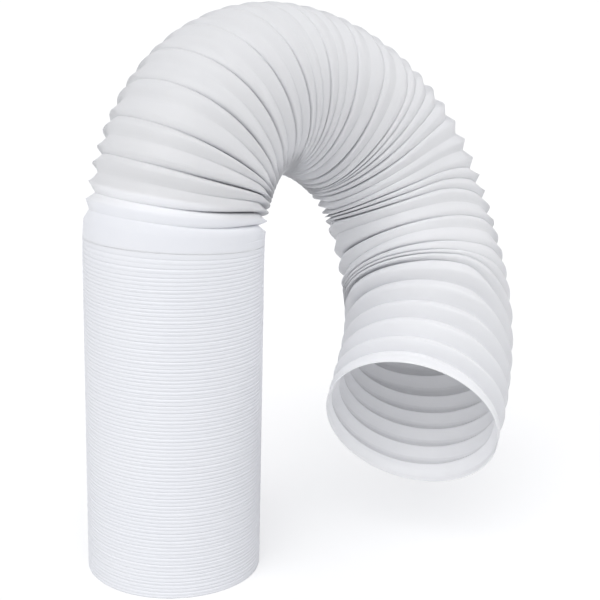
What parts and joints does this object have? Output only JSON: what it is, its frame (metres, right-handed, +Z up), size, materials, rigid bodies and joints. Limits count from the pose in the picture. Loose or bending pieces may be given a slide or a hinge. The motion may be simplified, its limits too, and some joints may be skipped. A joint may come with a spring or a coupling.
{
  "type": "air conditioner exhaust hose",
  "caption": "Spirally wound, pleated flexible exhaust hose standing on its packed end, with its drawn-out stretch arched over to a hanging open mouth.",
  "frame": {"origin": "on the floor, under the middle of the hose's overall width and depth", "axes": "+Z up along the standing leg; the arch goes over towards +X; the open mouth faces the front, -Y, and down"},
  "size_m": [0.3252, 0.2612, 0.4152],
  "materials": {
    "white_plastic": "satin"
  },
  "bodies": {
    "root": {"exhaust_hose": "white_plastic"}
  },
  "joints": []
}
